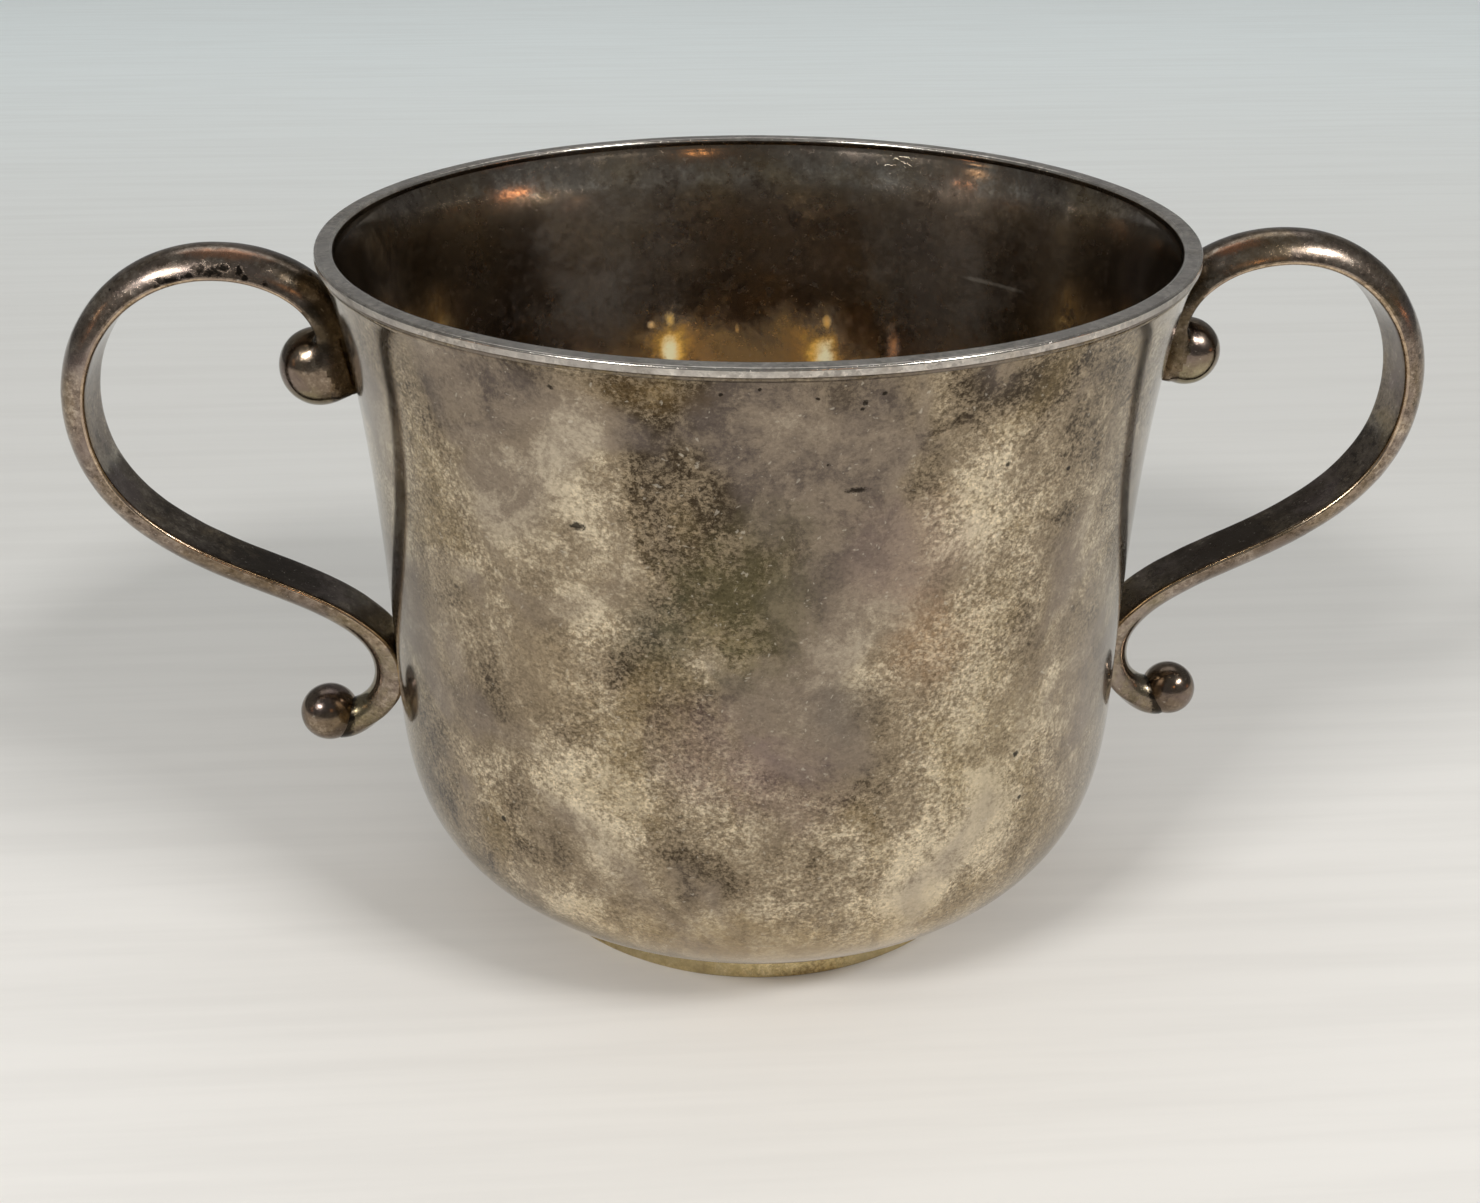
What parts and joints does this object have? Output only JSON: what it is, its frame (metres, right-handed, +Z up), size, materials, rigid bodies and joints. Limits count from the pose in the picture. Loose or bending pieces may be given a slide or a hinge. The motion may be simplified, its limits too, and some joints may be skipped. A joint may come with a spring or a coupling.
{
  "type": "two-handled cup",
  "caption": "Round-bottomed metal cup on a low foot ring, with a flared lip, a flat rim band and a pair of scroll handles that end in small balls.",
  "frame": {"origin": "centre of the foot ring, on the surface that the cup stands on", "axes": "+Z up along the cup's axis, +X towards the right handle as seen from the front, -Y towards the viewer"},
  "size_m": [0.156, 0.095, 0.08],
  "materials": {
    "bowl_silver": "hammered and planished silver, mottled brown-grey tarnish, fine scratches and a few pits",
    "rim_silver": "silver worn bright along its edge, matt grey on top",
    "foot_silver": "silver with a pale golden tarnish",
    "handle_silver": "polished silver under a purple-brown tarnish, pitted on top of one arch",
    "ball_silver": "polished silver under a dark tarnish"
  },
  "bodies": {
    "root": {"bowl": "bowl_silver", "rim_band": "rim_silver", "foot_ring": "foot_silver", "left_handle_strap": "handle_silver", "right_handle_strap": "handle_silver", "left_upper_ball": "ball_silver", "right_upper_ball": "ball_silver", "left_lower_ball": "ball_silver", "right_lower_ball": "ball_silver"}
  },
  "joints": []
}
